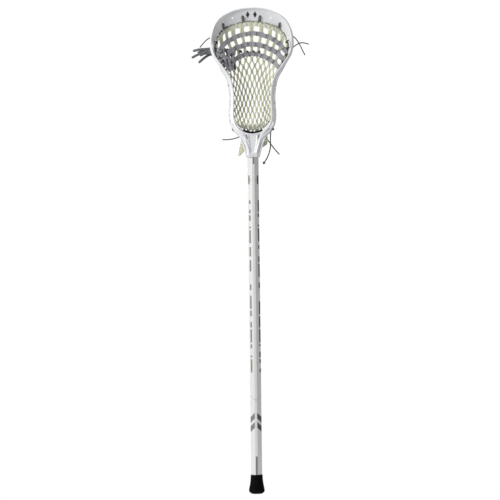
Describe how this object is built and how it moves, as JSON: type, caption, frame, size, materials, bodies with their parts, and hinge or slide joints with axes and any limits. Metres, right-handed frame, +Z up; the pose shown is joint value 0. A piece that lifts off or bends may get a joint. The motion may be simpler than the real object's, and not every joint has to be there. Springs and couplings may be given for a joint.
{
  "type": "lacrosse stick",
  "caption": "Field lacrosse stick: octagonal metal shaft, moulded head with a strung mesh pocket and shooting laces, foam ball stop and a rubber end cap.",
  "frame": {"origin": "centre of the end cap's flat bottom", "axes": "+Z up the shaft towards the head, -Y towards the ball side of the head, +Y towards the pocket's back, +X to the right seen from the ball side"},
  "size_m": [0.2446, 0.0849, 1.016],
  "materials": {
    "shaft_metal": "gloss white paint with grey printed marks",
    "cap_rubber": "matte moulded rubber",
    "head_plastic": "satin moulded nylon",
    "stop_foam": "closed-cell foam",
    "screw_steel": "zinc plated",
    "mesh_nylon": "waxed braided mesh",
    "string_nylon": "braided cord",
    "lace_cotton": "flat woven lace"
  },
  "bodies": {
    "stick": {"shaft": "shaft_metal", "head_frame": "head_plastic", "ball_stop": "stop_foam", "mesh_tail_left": "mesh_nylon", "mesh_tail_right": "mesh_nylon", "top_string": "string_nylon", "sidewall_string_left": "string_nylon", "sidewall_string_right": "string_nylon", "bottom_string": "string_nylon", "lace_tail_upper": "lace_cotton", "lace_tail_middle": "lace_cotton", "lace_tail_lower": "lace_cotton", "top_string_tail_left": "string_nylon", "top_string_tail_right": "string_nylon", "sidewall_tail_top_right": "string_nylon", "sidewall_tail_bottom_left": "string_nylon", "sidewall_tail_bottom_right": "string_nylon", "bottom_string_tail_right": "string_nylon"},
    "cap": {"butt_cap": "cap_rubber"},
    "screw": {"head_screw": "screw_steel"},
    "pocket": {"pocket_mesh": "mesh_nylon", "shooting_lace_upper": "lace_cotton", "shooting_lace_middle": "lace_cotton", "shooting_lace_lower": "lace_cotton"}
  },
  "joints": [
    {"name": "cap_pull", "type": "slide", "parent": "stick", "child": "cap", "axis": [0, 0, -1], "range_m": [0, 0.045]},
    {"name": "screw_out", "type": "slide", "parent": "stick", "child": "screw", "axis": [0, 1, 0], "range_m": [0, 0.018]},
    {"name": "pocket_give", "type": "slide", "parent": "stick", "child": "pocket", "axis": [0, 1, 0], "range_m": [0, 0.012], "stiffness_N_per_m": 150}
  ]
}
